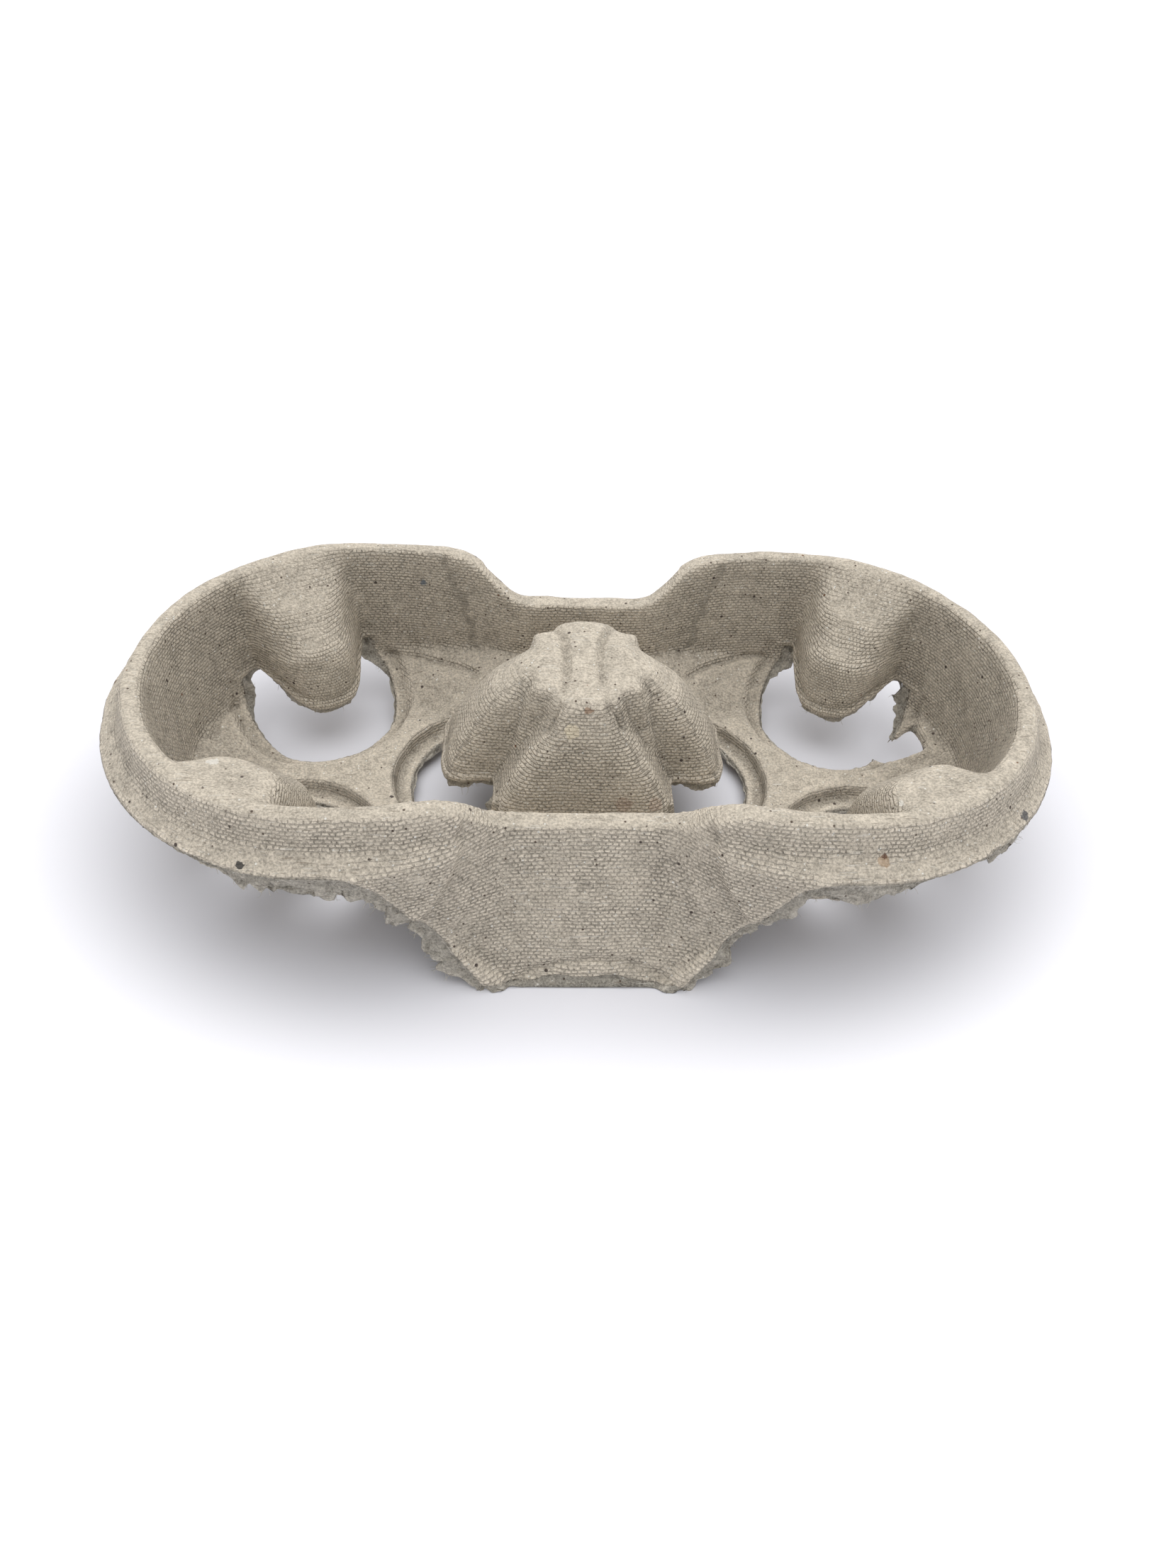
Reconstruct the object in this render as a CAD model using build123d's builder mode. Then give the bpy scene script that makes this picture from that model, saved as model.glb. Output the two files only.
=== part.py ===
"""Two-cup carrier tray, moulded in one piece from paper pulp.

The tray is a thin shell. One solid has the tray's upper skin, a second has
the same shapes set inwards by the wall, and the tray is the first less the
second, so the wall follows the rim, the wells, the divider and the flaps.
The origin is on the table under the middle of the tray, X runs from cup to
cup and Z is up. A gap of 0 makes a shape of the upper skin, and a gap of one
wall makes the same shape of the lower skin.
"""
from build123d import *
from math import cos, hypot, radians, sin
import os

# Whole tray
cup_pitch = 108.0
wall = 2.0

# Rim round the cups, dipping to a waist along each long side
rim_height = 44.4
waist_height = 34.0
waist_half_length = 13.0
shoulder_length = 21.0
shoulder_pinch = ((0.5, 0.35), (1.0, 0.76))

# Skirt from the rim out to the flange round the cups
rim_outer_radius = 47.4
skirt_bend_radius = 50.0
skirt_bend_height = 38.0
flange_radius = 54.6
flange_height = 34.4
waist_outer_half_width = 39.5

# The two legs, one on each long side
foot_half_width = 56.4
foot_half_length = 20.5
leg_half_length = 44.5
leg_corner_round = 12.0
panel_fold_half_length = 12.5
panel_fold_spread = 0.8
panel_fold_height = 2.5
lip_depth = 2.4

# Cup wells
seat_radius = 40.3
seat_height = 14.0
well_draft = 0.1
waist_inner_half_width = 31.8
hub_radius = 28.0
hub_height = 8.0
bank_radius = 46.2
valley_height = 18.5

# Windows and the sunken ledge round each of them
window_count = 3
window_centre_radius = 30.0
window_radius = 19.0
ledge_width = 4.0
ledge_height = 4.0
ledge_bend_radius = 24.0
ledge_depth_at_wall = 1.2

# Flaps over the outer windows, as radius, height and half width from the tip up to the rim
flap_sections = ((21.0, 12.3, 5.5), (23.5, 28.0, 6.5), (33.0, 41.0, 8.5), (45.0, 44.0, 10.0))
flap_angles = (118.0, 242.0)
flap_spread = 0.5
flap_nose_round = 4.5
notch_radius = 38.0
notch_height = 18.6

# Divider between the cups, given as height, half length and half depth
divider_height = 46.0
panel_sections = ((0.0, 22.6, 28.0), (19.5, 20.6, 24.0), (39.0, 8.8, 17.7), (44.5, 8.1, 15.4))
panel_round = 4.5
top_bevel = 1.5
neck_foot_half_depth = 14.0
neck_top_half_depth = 10.5
neck_foot_radius = 32.4
neck_top_radius = 42.8
flute_pitch = 9.6
flute_radius = 3.2
flute_depth = 0.8

# Wings of the divider over the inner windows, as height, reach from the middle and half width
wing_sections = ((0.0, 42.0, 15.5), (16.0, 34.7, 12.5), (27.5, 29.6, 10.0), (39.0, 21.6, 7.8), (45.0, 14.5, 5.8))
wing_tip_height = 17.0
wing_nose_round = 5.5
inner_window_reach = 38.6

# Torn corner of the right back window, as radius and angle about the cup axis
torn_corner = ((26.0, 26.0), (28.5, 13.0), (36.0, 10.5), (38.0, 24.0))

# Room that the cutting solids take past the faces that they cut
spare = 5.0

# How much further a slanting face is set in, on the level, than it is across
skew = 1.1

cup_x = cup_pitch / 2
sides = (-1, 1)
corner_steps = 2
outer_window_reach = seat_radius + 2 * wall
top_of_cuts = rim_height + 3 * spare


def set_off(line, gap):
    """An open line of points, moved to its right by gap with mitred corners."""
    normals = []
    for (x0, y0), (x1, y1) in zip(line, line[1:]):
        length = hypot(x1 - x0, y1 - y0)
        normals.append(((y1 - y0) / length, -(x1 - x0) / length))
    before = [normals[0]] + normals
    after = normals + [normals[-1]]
    moved = []
    for (x, y), (ax, ay), (bx, by) in zip(line, before, after):
        scale = gap / (1 + ax * bx + ay * by)
        moved.append((x + (ax + bx) * scale, y + (ay + by) * scale))
    return moved


def eased(before, corner, after, length):
    """A corner of an outline as a few short chords, each side shortened by length."""
    ends = []
    for x, y in (before, after):
        share = length / hypot(x - corner[0], y - corner[1])
        ends.append((corner[0] + share * (x - corner[0]), corner[1] + share * (y - corner[1])))
    points = []
    for k in range(corner_steps + 1):
        t = k / corner_steps
        shares = ((1 - t) ** 2, 2 * t * (1 - t), t * t)
        points.append(tuple(sum(w * v for w, v in zip(shares, vs)) for vs in zip(ends[0], corner, ends[1])))
    return points


def plan_outline(reach, waist, height):
    """Round ends of one radius about the cup axes, pinched to the waist."""
    swell = reach - waist
    pinch = [(waist_half_length + a * shoulder_length, waist + b * swell) for a, b in shoulder_pinch]
    with BuildSketch(Plane.XY.offset(height)) as sketch:
        with BuildLine():
            Line((0, waist), (waist_half_length, waist))
            Spline((waist_half_length, waist), *pinch, (cup_x, reach), tangents=((1, 0), (1, 0)))
            CenterArc((cup_x, 0), reach, 0, 90)
            mirror(about=Plane.YZ)
            mirror(about=Plane.XZ)
        make_face()
    return sketch.sketch


def plan_loft(sections):
    """A solid through plan outlines, given as height, reach and waist."""
    with BuildPart() as body:
        loft([plan_outline(reach, waist, height) for height, reach, waist in sections], ruled=True)
    return body.part


def turned(line, side, height):
    """All that lies over a line of radii and heights, turned round a cup axis, up to a height."""
    with BuildPart() as body:
        with BuildSketch(Plane.XZ):
            with BuildLine():
                points = [(side * cup_x + r, z) for r, z in line]
                Polyline(*points, (points[-1][0], height), (side * cup_x, height), close=True)
            make_face()
        revolve(axis=Axis((side * cup_x, 0, 0), (0, 0, 1)))
    return body.part


def heading(side, angle, height):
    """A level plane on a cup axis, with X turned by angle from the middle of the tray."""
    turn = radians(angle if side < 0 else angle + 180)
    return Plane(origin=(side * cup_x, 0, height), x_dir=(cos(turn), sin(turn), 0), z_dir=(0, 0, 1))


def over_rim(gap):
    """Everything over the crest of the rim, which is low along the waist."""
    low = waist_height - gap
    high = rim_height - gap
    shoulder = waist_half_length + shoulder_length
    far = cup_x + flange_radius + spare
    with BuildPart() as body:
        with BuildSketch(Plane.XZ):
            with BuildLine():
                Line((0, low), (waist_half_length, low))
                Spline((waist_half_length, low), (shoulder, high), tangents=((1, 0), (1, 0)))
                Polyline((shoulder, high), (far, high), (far, top_of_cuts), (0, top_of_cuts))
                mirror(about=Plane.YZ)
            make_face()
        extrude(amount=foot_half_width + 2 * spare, both=True)
    return body.part


def skirt(gap, lip):
    """The outside of the tray, with its legs standing out by lip at the foot."""
    bottom = -spare if gap else 0
    draft = (foot_half_width - flange_radius) / flange_height
    waist_draft = (foot_half_width - waist_outer_half_width) / flange_height
    lean = (skirt_bend_radius - rim_outer_radius) / (rim_height - skirt_bend_height)
    line = (
        (foot_half_width + lip - draft * bottom, bottom),
        (flange_radius, flange_height),
        (skirt_bend_radius, skirt_bend_height),
        (skirt_bend_radius - lean * (top_of_cuts - skirt_bend_height), top_of_cuts),
    )
    sections = []
    for reach, height in set_off(line, -gap):
        waist = waist_outer_half_width + lip + waist_draft * max(flange_height - height, 0)
        sections.append((height, reach, waist - gap * hypot(1, waist_draft)))
    return plan_loft(sections)


def leg_recess(gap):
    """The space in front of a leg's flat panel, inside the lip that its fold turns out."""
    slope = (foot_half_width - waist_outer_half_width) / flange_height
    face = Plane(origin=(0, foot_half_width, 0), x_dir=(-1, 0, 0), z_dir=(0, 1, slope))
    stretch = hypot(1, slope)
    low = (panel_fold_height - gap) * stretch
    high = (rim_height + spare) * stretch
    fold = panel_fold_half_length + gap
    with BuildPart() as body:
        with BuildSketch(face.offset(-wall)):
            with BuildLine():
                Polyline(
                    (fold + panel_fold_spread * low, low),
                    (fold + panel_fold_spread * high, high),
                    (-fold - panel_fold_spread * high, high),
                    (-fold - panel_fold_spread * low, low),
                    close=True,
                )
            make_face()
        extrude(amount=wall + 3 * lip_depth, taper=-45)
        mirror(about=Plane.XZ)
    return body.part


def outside(gap):
    """The outer shape: the skirt, with a turned-out lip along the edge of each leg."""
    with BuildPart() as body:
        add(skirt(gap, lip_depth))
        add(leg_recess(gap), mode=Mode.SUBTRACT)
        add(skirt(gap, 0))
        add(over_rim(gap), mode=Mode.SUBTRACT)
    return body.part


def floors(gap):
    """All the room over the hubs, the spokes, the sunken ledges and the valley."""
    top = valley_height + spare
    spokes = [(0, hub_height), (hub_radius, hub_height), (bank_radius, valley_height)]
    ledges = [(0, ledge_height), (ledge_bend_radius, ledge_height), (bank_radius, valley_height - ledge_depth_at_wall)]
    with BuildPart() as body:
        for side in sides:
            middles = [heading(side, k * 360 / window_count, 0) for k in range(window_count)]
            with BuildPart(mode=Mode.PRIVATE) as sunken:
                with Locations(*[m.from_local_coords((window_centre_radius, 0, 0)) for m in middles]):
                    Cylinder(window_radius + ledge_width + gap, 2 * top)
                add(turned(set_off(ledges, gap), side, top), mode=Mode.INTERSECT)
            add(turned(set_off(spokes, gap), side, top))
            add(sunken.part)
        with Locations((0, 0, valley_height - gap)):
            Box(4 * cup_pitch, 4 * cup_pitch, top_of_cuts, align=(Align.CENTER, Align.CENTER, Align.MIN))
    return body.part


def tongue(side, angle, sections, back, spread, nose_round):
    """A flap leaning out from the wall, given as nose radius, height and half width."""
    with BuildPart() as body:
        for nose, height, half_width in sections:
            root = half_width + spread * (back - nose)
            corners = ((back, -root), (nose, -half_width), (nose, half_width), (back, root))
            with BuildSketch(heading(side, angle, height)):
                with BuildLine():
                    tip = eased(*corners[:3], nose_round) + eased(*corners[1:], nose_round)
                    Polyline(corners[0], *tip, corners[3], close=True)
                make_face()
        loft(ruled=True)
    return body.part


def outer_flap(side, angle, gap):
    """A flap that hangs from the outer wall over its window."""
    (tip, tip_height, _), (bend, bend_height, _) = flap_sections[:2]
    lean = (bend - tip) / (bend_height - tip_height)
    drop = tip_height + spare
    foot = (tip - lean * drop, tip_height - drop, flap_sections[0][2])
    whole = (foot, *flap_sections[1:])
    line = set_off([(nose, height) for nose, height, _ in whole], gap)
    sections = []
    for (nose, height), (old_nose, _, half_width) in zip(line, whole):
        shrink = gap * hypot(1, flap_spread) - flap_spread * (nose - old_nose)
        sections.append((nose, height, half_width - shrink))
    return tongue(side, angle, sections, flange_radius, flap_spread, flap_nose_round - gap)


def wing(side, gap):
    """A wing of the divider, which hangs over the inner window."""
    sections = []
    for height, reach, half_width in wing_sections:
        nose = cup_x - reach + skew * gap
        sections.append((nose, height - gap * (height > wing_tip_height), half_width - gap))
    nose_round = min(wing_nose_round - gap, sections[-1][2] - wall / 10)
    return tongue(side, 0, sections, cup_x, 0, nose_round)


def block(half_length, half_depth, height, length):
    """A level rectangle with eased corners, for the divider's panels."""
    x, y = half_length, half_depth
    corners = ((x, -y), (x, y), (-x, y), (-x, -y))
    with BuildSketch(Plane.XY.offset(height)) as face:
        with BuildLine():
            points = []
            for k in range(4):
                points += eased(corners[k - 1], corners[k], corners[(k + 1) % 4], length)
            Polyline(*points, close=True)
        make_face()
    return face.sketch


def divider(gap):
    """The hollow post between the cups, with a wing towards each of them."""
    top = divider_height - gap
    with BuildPart() as neck:
        for half_depth, height in ((neck_foot_half_depth, 0), (neck_top_half_depth, divider_height)):
            with BuildSketch(Plane.XY.offset(height)):
                Rectangle(cup_pitch / 2, 2 * (half_depth - gap))
        loft()
        for side in sides:
            side_wall = set_off([(neck_foot_radius, -spare), (neck_top_radius, divider_height)], gap)
            add(turned([(0, -spare)] + side_wall, side, top_of_cuts), mode=Mode.SUBTRACT)
    inset = skew * gap
    corner = panel_round - gap
    faces = []
    for height, half_length, half_depth in panel_sections:
        level = height - gap * (height > valley_height)
        faces.append(block(half_length - inset, half_depth - inset, level, corner))
    faces.append(block(half_length - inset - top_bevel, half_depth - inset - top_bevel, top, corner))
    with BuildPart() as body:
        loft(faces, ruled=True)
        add(neck.part)
        for side in sides:
            add(wing(side, gap))
        with BuildSketch(Plane.XY.offset(top)):
            Rectangle(cup_pitch, cup_pitch)
        extrude(amount=2 * spare, mode=Mode.SUBTRACT)
    return body.part


def room(gap):
    """The open space inside the rim, less the flaps of the outer wall."""
    bottom_reach = seat_radius - well_draft * seat_height
    top_reach = bottom_reach + well_draft * top_of_cuts
    swell = bottom_reach - waist_inner_half_width
    with BuildPart() as body:
        add(plan_loft((
            (0, bottom_reach + gap, bottom_reach + gap - swell),
            (top_of_cuts, top_reach + gap, top_reach + gap - swell),
        )))
        add(floors(gap), mode=Mode.INTERSECT)
        for side in sides:
            for angle in flap_angles:
                add(outer_flap(side, angle, gap), mode=Mode.SUBTRACT)
    return body.part


def window(side, angle, tip_radius, tip_height, reach):
    """The cut through a window, closed above by the slanting lower edge of its flap."""
    rise = (notch_height - tip_height) / (notch_radius - tip_radius)
    level = heading(side, angle, -spare)
    upright = Plane(origin=level.origin, x_dir=level.x_dir, z_dir=-level.y_dir)
    with BuildPart() as body:
        with BuildSketch(upright):
            with BuildLine():
                Polyline(
                    (0, 0),
                    (reach, 0),
                    (reach, spare + tip_height + rise * (reach - tip_radius)),
                    (0, spare + tip_height - rise * tip_radius),
                    close=True,
                )
            make_face()
        extrude(amount=window_radius + spare, both=True)
        with BuildSketch(level):
            with Locations((window_centre_radius, 0)):
                Circle(window_radius)
        extrude(amount=top_of_cuts, mode=Mode.INTERSECT)
        with BuildSketch(level):
            Circle(reach)
        extrude(amount=top_of_cuts, mode=Mode.INTERSECT)
    return body.part


def trimming():
    """All of the skirt that is cut away: below the flange and beside the legs."""
    far = cup_x + foot_half_width + 2 * spare
    run = (leg_half_length - foot_half_length) / flange_height
    with BuildPart() as body:
        with BuildSketch(Plane.XZ):
            with BuildLine():
                Polyline(
                    (foot_half_length - run * spare, -spare),
                    (leg_half_length, flange_height),
                    (far, flange_height),
                    (far, -spare),
                    close=True,
                )
            corner = make_face().vertices().sort_by_distance((leg_half_length, flange_height))[:1]
            fillet(corner, leg_corner_round)
            mirror(about=Plane.YZ)
        extrude(amount=foot_half_width + 2 * spare, both=True)
        with BuildSketch(Plane.XY.offset(-spare)):
            add(plan_outline(rim_outer_radius - wall / 2, waist_outer_half_width + wall, -spare))
        extrude(amount=top_of_cuts, mode=Mode.SUBTRACT)
    return body.part


def torn_gap():
    """The corner torn out of the floor beside the right back window."""
    level = heading(1, 180, -spare)
    with BuildPart() as body:
        with BuildSketch(level):
            with BuildLine():
                points = [(r * cos(radians(a)), r * sin(radians(a))) for r, a in torn_corner]
                Polyline(*points, close=True)
            make_face()
        extrude(amount=spare + valley_height)
    return body.part


def skin(gap):
    """The solid under the upper skin, or the lower one, before the windows are cut."""
    with BuildPart() as body:
        add(outside(gap))
        add(room(gap), mode=Mode.SUBTRACT)
        add(divider(gap))
    return body.part


with BuildPart() as tray:
    add(skin(0))
    add(skin(wall), mode=Mode.SUBTRACT)
    add(trimming(), mode=Mode.SUBTRACT)
    for side in sides:
        add(window(side, 0, cup_x - wing_sections[1][1], wing_tip_height, inner_window_reach), mode=Mode.SUBTRACT)
        for k in range(1, window_count):
            cut = window(side, k * 360 / window_count, *flap_sections[0][:2], outer_window_reach)
            add(cut, mode=Mode.SUBTRACT)
    add(torn_gap(), mode=Mode.SUBTRACT)
    with Locations((-flute_pitch / 2, 0, divider_height), (flute_pitch / 2, 0, divider_height)):
        with Locations((0, 0, flute_radius - flute_depth)):
            Cylinder(flute_radius, rim_height, rotation=(90, 0, 0), mode=Mode.SUBTRACT)

tray.part.label = "tray"
os.makedirs("parts", exist_ok=True)
export_step(tray.part, "parts/tray.step")
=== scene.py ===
import math
import random

import bpy
import numpy as np
from bpy.props import FloatProperty, FloatVectorProperty, IntProperty, PointerProperty
from bpy.types import Operator, Panel, PropertyGroup
from mathutils import Matrix, Vector, noise


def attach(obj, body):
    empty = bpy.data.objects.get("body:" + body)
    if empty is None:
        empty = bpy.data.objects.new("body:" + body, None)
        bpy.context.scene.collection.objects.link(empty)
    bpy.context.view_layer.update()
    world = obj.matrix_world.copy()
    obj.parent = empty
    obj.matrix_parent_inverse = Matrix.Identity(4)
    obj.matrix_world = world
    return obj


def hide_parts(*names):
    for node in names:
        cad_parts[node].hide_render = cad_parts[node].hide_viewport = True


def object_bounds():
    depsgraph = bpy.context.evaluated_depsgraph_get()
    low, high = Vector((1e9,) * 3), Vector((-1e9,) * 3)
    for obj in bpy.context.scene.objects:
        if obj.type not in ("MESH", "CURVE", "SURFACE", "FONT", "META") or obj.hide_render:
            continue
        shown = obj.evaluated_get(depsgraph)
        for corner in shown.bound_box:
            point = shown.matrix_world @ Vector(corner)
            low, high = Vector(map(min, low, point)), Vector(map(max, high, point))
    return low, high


bl_info = {
    "name": "Pulp cup carrier",
    "version": (1, 0, 0),
    "blender": (4, 5, 0),
    "location": "3D View > Sidebar > Cup carrier",
    "description": "Models the moulded paper pulp of a two-cup carrier tray round its packed solid",
    "category": "Object",
}

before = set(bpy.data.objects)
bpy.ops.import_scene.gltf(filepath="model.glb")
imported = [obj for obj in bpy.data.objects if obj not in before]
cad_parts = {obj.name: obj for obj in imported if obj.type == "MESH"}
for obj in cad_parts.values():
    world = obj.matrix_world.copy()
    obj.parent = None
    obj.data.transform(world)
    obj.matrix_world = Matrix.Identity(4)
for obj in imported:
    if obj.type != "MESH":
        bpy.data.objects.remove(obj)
packed_box = [list(corner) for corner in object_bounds()]

# Lines that the cut edges follow, in metres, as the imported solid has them
CUP_X = 0.054
FLANGE_HEIGHT = 0.0344
LEG_FOOT = 0.0205
LEG_TOP = 0.0445
LEG_ROUND = 0.012
SKIRT_REACH = 0.050
WAIST_REACH = 0.0415
WINDOWS = 3
WINDOW_REACH = 0.030
WINDOW_RADIUS = 0.019
INNER_REACH = 0.0386
OUTER_REACH = 0.0443

# Lowest points of a flap and a wing, and the notch beside them, as reach from the cup's axis and height
FLAP_TIP = (0.021, 0.0123)
WING_TIP = (0.0193, 0.017)
NOTCH = (0.038, 0.0186)

# Corners of the hole torn in the right floor, as reach from the cup's axis and angle in degrees
TORN_CORNER = ((0.026, 26.0), (0.0285, 13.0), (0.036, 10.5), (0.038, 24.0))

# Parts of the tray that are smoothed more, as limits or as bands from none to full, in metres
CREST_HEIGHT = (0.0395, 0.0435)
DIVIDER_HEIGHT = (0.016, 0.030)
DIVIDER_TOP = (0.034, 0.042)
DIVIDER_LENGTH = 0.030
DIVIDER_WIDTH = (0.020, 0.026)
DIVIDER_TOP_SHARE = 0.4
WELL_WALL = (0.040, 0.045)
FLAP_START = 0.032
FLAP_HEIGHT = (0.020, 0.032)
LEDGE_START = 0.015
LEDGE_HEIGHT = (0.010, 0.013)
LEDGE_SHARE = 0.25

# Where the back flaps' shelves sink, as bands in metres
SAG_BEHIND = (0.004, 0.012)
SAG_HEIGHT = (0.020, 0.034)
SAG_START = (0.020, 0.033)
SAG_END = (0.033, 0.045)

# How far the raw pulp is first drawn out of the cut edges, before it is torn back, in metres
SKIRT_DRAW = 0.0062
WINDOW_DRAW = 0.0034
MERGE_DISTANCE = 0.00001
CUT_TOLERANCE = 0.00015
CUT_FACING = 0.7
FOOT_CLEARANCE = 0.0002
TORN_CORNER_MARGIN = 0.0005

# Torn pulp under the front flange, as bands in which it starts and ends along x, and its length
FRONT_TATTERS = (
    ((-0.076, -0.062), (-0.040, -0.034), 0.0050),
    ((0.034, 0.044), (0.058, 0.074), 0.0040),
    ((0.079, 0.084), (0.090, 0.096), 0.0026),
)
LEAST_TATTER = 0.0004
BACK_TATTER = 0.0016
BACK_SWELL = 0.0012
BACK_LIMITS = (0.0003, 0.0045)
LEG_TATTER = 0.0042
LEG_TATTER_START = (0.003, 0.012)
FOOT_SHORTENING = 0.0018
FOOT_ZONE = (0.0, 0.008)
WINDOW_TATTER = 0.0007
FLAP_TATTER = 0.0024
FLAP_TATTER_START = (0.0095, 0.0125)
FLAP_TATTER_END = (0.0165, 0.019)

# The ragged line of a torn edge: sizes in metres, and shares of the torn length
TORN_ZONE = -0.0025
LUMP_SIZE, LUMP_SHARE = 0.0065, 1.3
TATTER_SIZE, TATTER_SHARE = 0.0024, 0.35
MEAN_LUMP = 0.4
LENGTH_LIMITS = (0.1, 2.0)
INNER_WANDER = 0.0003
INNER_ZONE = (-0.0015, 0)
TORN_BAND = (0, 0.0007)
RAW_BAND = (-0.0002, 0.0003)
CRUMB_SIZE = 0.0013
CRUMB_SHARE_ON_FACE = 0.3

# The frayed foot of each leg: height, waves along x, and how softly it ends
FRAY_HEIGHT = 0.0012
FRAY_WAVES = (350, 127)
FRAY_END = 0.0008
FRAY_SWAY = 0.0009
RAW_SWAY = 0.0008

# Lips along the cut edges, as height, place before the edge and half width, in metres
EDGE_LIP = (0.0003, -0.0008, 0.0006)
FLAP_BEAD = (0.0006, -0.0011, 0.0008)
FLAP_GROOVE = (0.0006, -0.0028, 0.0007)
FLAP_EDGE_HEIGHT = 0.015
FLAP_EDGE_SPREAD = 0.005
DIMPLE_SIZE = 0.0035
DIMPLE_HEIGHT = 0.00010

# One seed for each kind of unevenness
WAVE_SEED, DIMPLE_SEED, LUMP_SEED, TATTER_SEED, CRUMB_SEED = range(1, 6)

SETTLING = 2
TRIANGLES = 195000

# Lengths round which the wire's rows are laid, and the box of the divider, in metres
WELL_RADIUS = 0.045
SKIRT_RADIUS = 0.053
WALL_REACH = 0.0455
WAIST_START = 0.030
DIVIDER_BOX = (0.032, 0.027)
STEEP_FACE = (0.5, 0.85)

# Folds left by the mould, as points on the surface, half width and depth, in millimetres
CREASES = (
    (((-53.3, 39.8, 13.5), (-44.3, 37.9, 14.4), (-34.3, 34.1, 14.6), (-28.5, 31.0, 15.0)), 0.8, 1.0),
    (((51.1, 40.4, 14.8), (46.0, 39.7, 15.2), (35.6, 35.6, 15.0), (30.0, 31.0, 15.0)), 0.8, 1.0),
    (((-89.2, 17.9, 13.3), (-91.5, 11.3, 14.4), (-91.9, 5.3, 13.9)), 0.8, 0.8),
    (((-15.6, -57.0, 0.4), (-12.1, -55.0, 2.9), (-5.2, -53.9, 5.1), (1.7, -53.5, 5.8),
      (8.7, -53.8, 5.2), (15.8, -54.9, 3.1), (19.5, -57.6, 2.7)), 1.0, 0.6),
    (((-7.8, 14.0, 45.2), (-5.2, 8.0, 45.2), (-4.4, 0.0, 45.2), (-4.6, -8.0, 45.0),
      (-6.2, -14.4, 43.8), (-9.0, -15.6, 38.0)), 0.9, 1.0),
    (((6.6, 14.0, 45.2), (4.0, 8.0, 45.2), (3.2, 0.0, 45.2), (3.4, -8.0, 45.0),
      (5.4, -14.4, 43.8), (8.4, -15.2, 39.0)), 0.9, 1.0),
    (((-13.3, -7.1, 41.1), (-10.5, -12.0, 39.5), (-13.0, -16.0, 33.0), (-17.0, -19.0, 22.0)), 1.2, -0.3),
    (((13.8, -7.2, 40.9), (10.5, -13.0, 38.5), (13.5, -17.0, 31.0), (18.5, -20.5, 21.0)), 1.2, -0.3),
)

# Stains and chips, as place and radius in millimetres, colour and strength
MARKS = (
    ((-41.5, 41.9, 35.6), 1.0, (0.13, 0.18, 0.24), 0.7),
    ((-66.2, 28.7, 38.4), 0.8, (0.18, 0.22, 0.27), 0.6),
    ((-69.8, 24.7, 35.8), 0.9, (0.20, 0.23, 0.27), 0.5),
    ((0.2, -15.6, 44.1), 0.9, (0.30, 0.16, 0.09), 0.65),
    ((-3.2, -17.5, 39.4), 1.9, (0.86, 0.76, 0.58), 0.9),
    ((65.3, 27.7, 36.6), 0.8, (0.07, 0.05, 0.04), 0.9),
    ((-74.1, 22.0, 33.1), 0.5, (0.08, 0.06, 0.05), 0.85),
    ((-67.6, -51.5, 35.4), 0.9, (0.04, 0.04, 0.04), 0.9),
    ((-108.1, 1.1, 34.7), 1.2, (0.14, 0.09, 0.06), 0.75),
    ((92.2, -36.5, 35.7), 1.3, (0.04, 0.05, 0.07), 0.75),
    ((58.2, -50.6, 37.4), 1.2, (0.40, 0.24, 0.12), 0.5),
    ((58.2, -49.8, 38.1), 0.5, (0.16, 0.08, 0.05), 0.8),
    ((63.2, -38.7, 41.6), 0.9, (0.80, 0.77, 0.70), 0.7),
    ((8.9, -23.1, 22.4), 2.2, (0.44, 0.27, 0.20), 0.3),
    ((16.2, -22.8, 22.2), 2.0, (0.44, 0.27, 0.20), 0.3),
    ((-80.9, -39.9, 44.1), 0.4, (0.35, 0.10, 0.07), 0.8),
    ((-75.4, -39.4, 44.4), 0.4, (0.08, 0.06, 0.05), 0.8),
    ((-46.7, -8.5, 8.0), 0.5, (0.05, 0.04, 0.04), 0.9),
    ((-76.3, -29.9, 41.9), 1.3, (0.80, 0.78, 0.73), 0.55),
    ((-42.7, -51.0, 36.8), 0.4, (0.08, 0.06, 0.05), 0.85),
)

# Small specks, as cells in a metre, radius as a share of a cell, colour, and share of cells left out
SPECKS = (
    (260.0, 0.13, (0.10, 0.08, 0.07), 0.80),
    (420.0, 0.12, (0.85, 0.83, 0.77), 0.60),
    (190.0, 0.08, (0.22, 0.12, 0.07), 0.86),
    (480.0, 0.16, (0.13, 0.10, 0.08), 0.70),
    (610.0, 0.14, (0.80, 0.78, 0.72), 0.60),
)

# Turns of the four sets of fibres in the moulded face, and their two colours in turn
STRAND_TURNS = ((0.3, 0.5, 0.2), (1.4, -0.4, 0.9), (-0.7, 1.2, 2.1), (0.9, 2.0, -1.1))
STRAND_TINTS = ((0.80, 0.76, 0.68), (0.26, 0.21, 0.16))
STRAND_SCALE = (210.0, 2600.0, 2600.0)

# Print of the forming wire, in metres
WIRE_PITCH = 0.00145
WIRE_ROW = 0.00078
WIRE_GAP = 0.00022

# Loose fibres: colour, how they lean, and how much their length varies
FIBRE_COLOUR = (0.62, 0.57, 0.49)
FIBRE_TAPER = 0.86
FIBRE_ROOT = 0.0004
FIBRE_SWAY = 0.45
FIBRE_LENGTHS = (0.35, 1.25)
WINDOW_FIBRES = 0.35
FIBRE_ZONE = (0.0006, 0.0022)

# The white sheet: its colour, slightly blue so that the shade on it is painted blue, and how its glow
# brightens away from the tray and fades out under and around it as painted shade
SHEET_COLOUR_BLUE_IN_SHADE = (0.79, 0.79, 0.835, 1.0)
SHEET_SCALE = (7.0, 12.6, 1.0)
SHEET_GLOW_AND_PAINTED_SHADE = (0.78, 1.12, 0.0, 0.24)
WHITE = (1.0, 1.0, 1.0, 1.0)

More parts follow.
